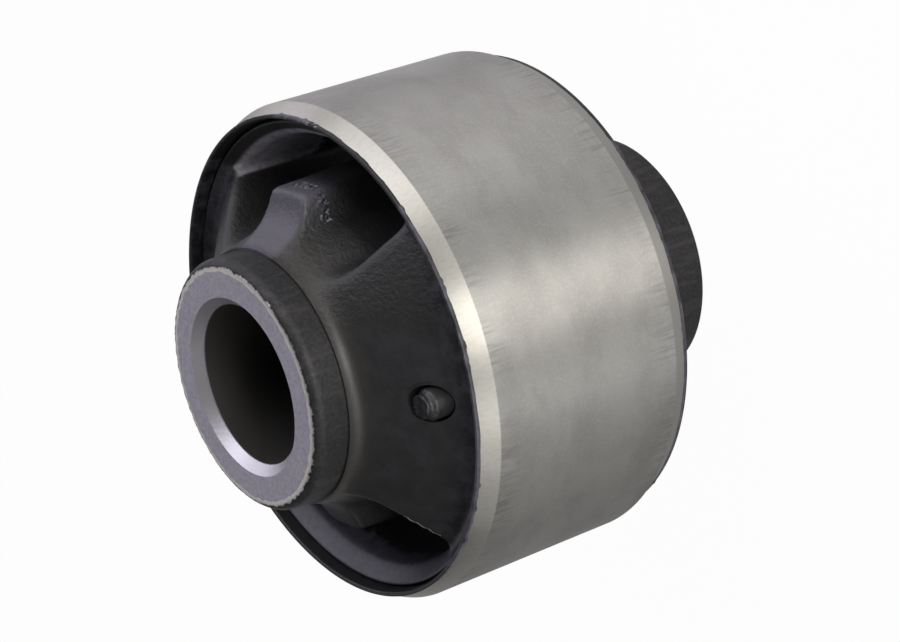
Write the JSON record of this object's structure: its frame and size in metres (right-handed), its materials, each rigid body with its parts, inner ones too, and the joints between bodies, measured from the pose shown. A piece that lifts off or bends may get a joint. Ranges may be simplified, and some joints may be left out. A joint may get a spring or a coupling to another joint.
{
  "type": "rubber metal bush",
  "caption": "Suspension bush: rubber body with two voids and bump stops, bonded between a pressed-in outer steel sleeve and a bolted inner steel sleeve.",
  "frame": {"origin": "centre of the inner sleeve's rear face, which the bush stands on", "axes": "+Z along the bore to the front face, which stands out less; +X through the middle of a rubber web, the one with the gate mark; +Y through the middle of the void whose bump stop stands taller"},
  "size_m": [0.066, 0.066, 0.0625],
  "materials": {
    "outer_sleeve": "ground bare steel, satin, with a smoother turned lead-in cone",
    "rubber_body": "moulded black rubber, satin to matte",
    "inner_sleeve": "dark phosphate coat outside and in the bore, bare satin end faces"
  },
  "bodies": {
    "root": {"outer_sleeve": "outer_sleeve", "rubber_body": "rubber_body", "inner_sleeve": "inner_sleeve"}
  },
  "joints": []
}
